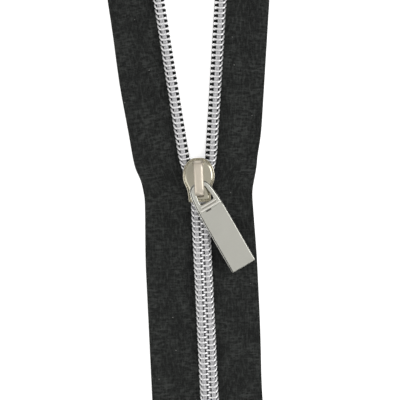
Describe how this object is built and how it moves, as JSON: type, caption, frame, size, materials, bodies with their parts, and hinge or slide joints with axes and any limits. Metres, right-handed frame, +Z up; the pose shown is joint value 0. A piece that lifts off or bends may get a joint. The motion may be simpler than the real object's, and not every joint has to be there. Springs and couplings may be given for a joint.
{
  "type": "coil zipper",
  "caption": "Part-open coil zipper: two woven tapes with metallised coils, a slider with an arched crown, a flat bar pull and end stops.",
  "frame": {"origin": "on the surface the zipper lies on, under the middle of its length and width", "axes": "+Y along the chain towards the open end, +X across it, +Z up"},
  "size_m": [0.053, 0.1794, 0.0083],
  "materials": {
    "tape": "woven polyester tape, charcoal black",
    "coil": "metallised silver filament",
    "cord": "spun filler cord, grey",
    "thread": "sewing thread, grey",
    "slider": "polished nickel plate on a zinc casting",
    "spring": "spring steel",
    "pull": "satin nickel plate on a zinc casting",
    "stop": "pressed metal"
  },
  "bodies": {
    "closed_end": {"left_tape_lower": "tape", "left_coil_lower": "coil", "left_cord_lower": "cord", "left_thread_lower": "thread", "right_tape_lower": "tape", "right_coil_lower": "coil", "right_cord_lower": "cord", "right_thread_lower": "thread", "bottom_stop": "stop"},
    "left_middle": {"left_tape_middle": "tape", "left_coil_middle": "coil", "left_cord_middle": "cord", "left_thread_middle": "thread", "left_tape_throat": "tape", "left_coil_throat": "coil", "left_cord_throat": "cord", "left_thread_throat": "thread"},
    "right_middle": {"right_tape_middle": "tape", "right_coil_middle": "coil", "right_cord_middle": "cord", "right_thread_middle": "thread", "right_tape_throat": "tape", "right_coil_throat": "coil", "right_cord_throat": "cord", "right_thread_throat": "thread"},
    "left_upper": {"left_tape_upper": "tape", "left_coil_upper": "coil", "left_cord_upper": "cord", "left_thread_upper": "thread", "left_top_stop": "stop"},
    "right_upper": {"right_tape_upper": "tape", "right_coil_upper": "coil", "right_cord_upper": "cord", "right_thread_upper": "thread", "right_top_stop": "stop"},
    "slider": {"slider_body": "slider", "crown": "slider"},
    "lock": {"lock_spring": "spring"},
    "pull": {"pull": "pull"}
  },
  "joints": [
    {"name": "slider_travel", "type": "slide", "parent": "closed_end", "child": "slider", "axis": [0, 1, 0], "range_m": [-0.072, 0], "deforming": ["left_tape_middle", "left_coil_middle", "left_cord_middle", "left_thread_middle", "right_tape_middle", "right_coil_middle", "right_cord_middle", "right_thread_middle"]},
    {"name": "left_opening", "type": "hinge", "parent": "closed_end", "child": "left_middle", "pos_m": [0, -0.0807, 0], "axis": [0, 0, 1], "range_deg": [0, 6.31]},
    {"name": "right_opening", "type": "hinge", "parent": "closed_end", "child": "right_middle", "pos_m": [0, -0.0807, 0], "axis": [0, 0, 1], "range_deg": [-6.31, 0]},
    {"name": "left_swing", "type": "hinge", "parent": "left_middle", "child": "left_upper", "pos_m": [-0.00566, 0.0152, 0], "axis": [0, 0, 1], "range_deg": [-7.5, 25], "deforming": ["left_tape_throat", "left_coil_throat", "left_cord_throat", "left_thread_throat"]},
    {"name": "right_swing", "type": "hinge", "parent": "right_middle", "child": "right_upper", "pos_m": [0.00566, 0.0152, 0], "axis": [0, 0, -1], "range_deg": [-7.5, 25], "deforming": ["right_tape_throat", "right_coil_throat", "right_cord_throat", "right_thread_throat"]},
    {"name": "pull_flip", "type": "hinge", "parent": "slider", "child": "pull", "pos_m": [0, 0.00755, 0.00636], "axis": [-0.8888, -0.4563, 0.0435], "range_deg": [0, 90]},
    {"name": "lock_lift", "type": "hinge", "parent": "slider", "child": "lock", "pos_m": [0, 0.0121, 0.00734], "axis": [-1, 0, 0], "range_deg": [0, 1.8]}
  ],
  "couplings": [
    {"joint": "left_opening", "follows": "slider_travel", "rad_per_m": -1.5272},
    {"joint": "right_opening", "follows": "slider_travel", "rad_per_m": 1.5272}
  ]
}
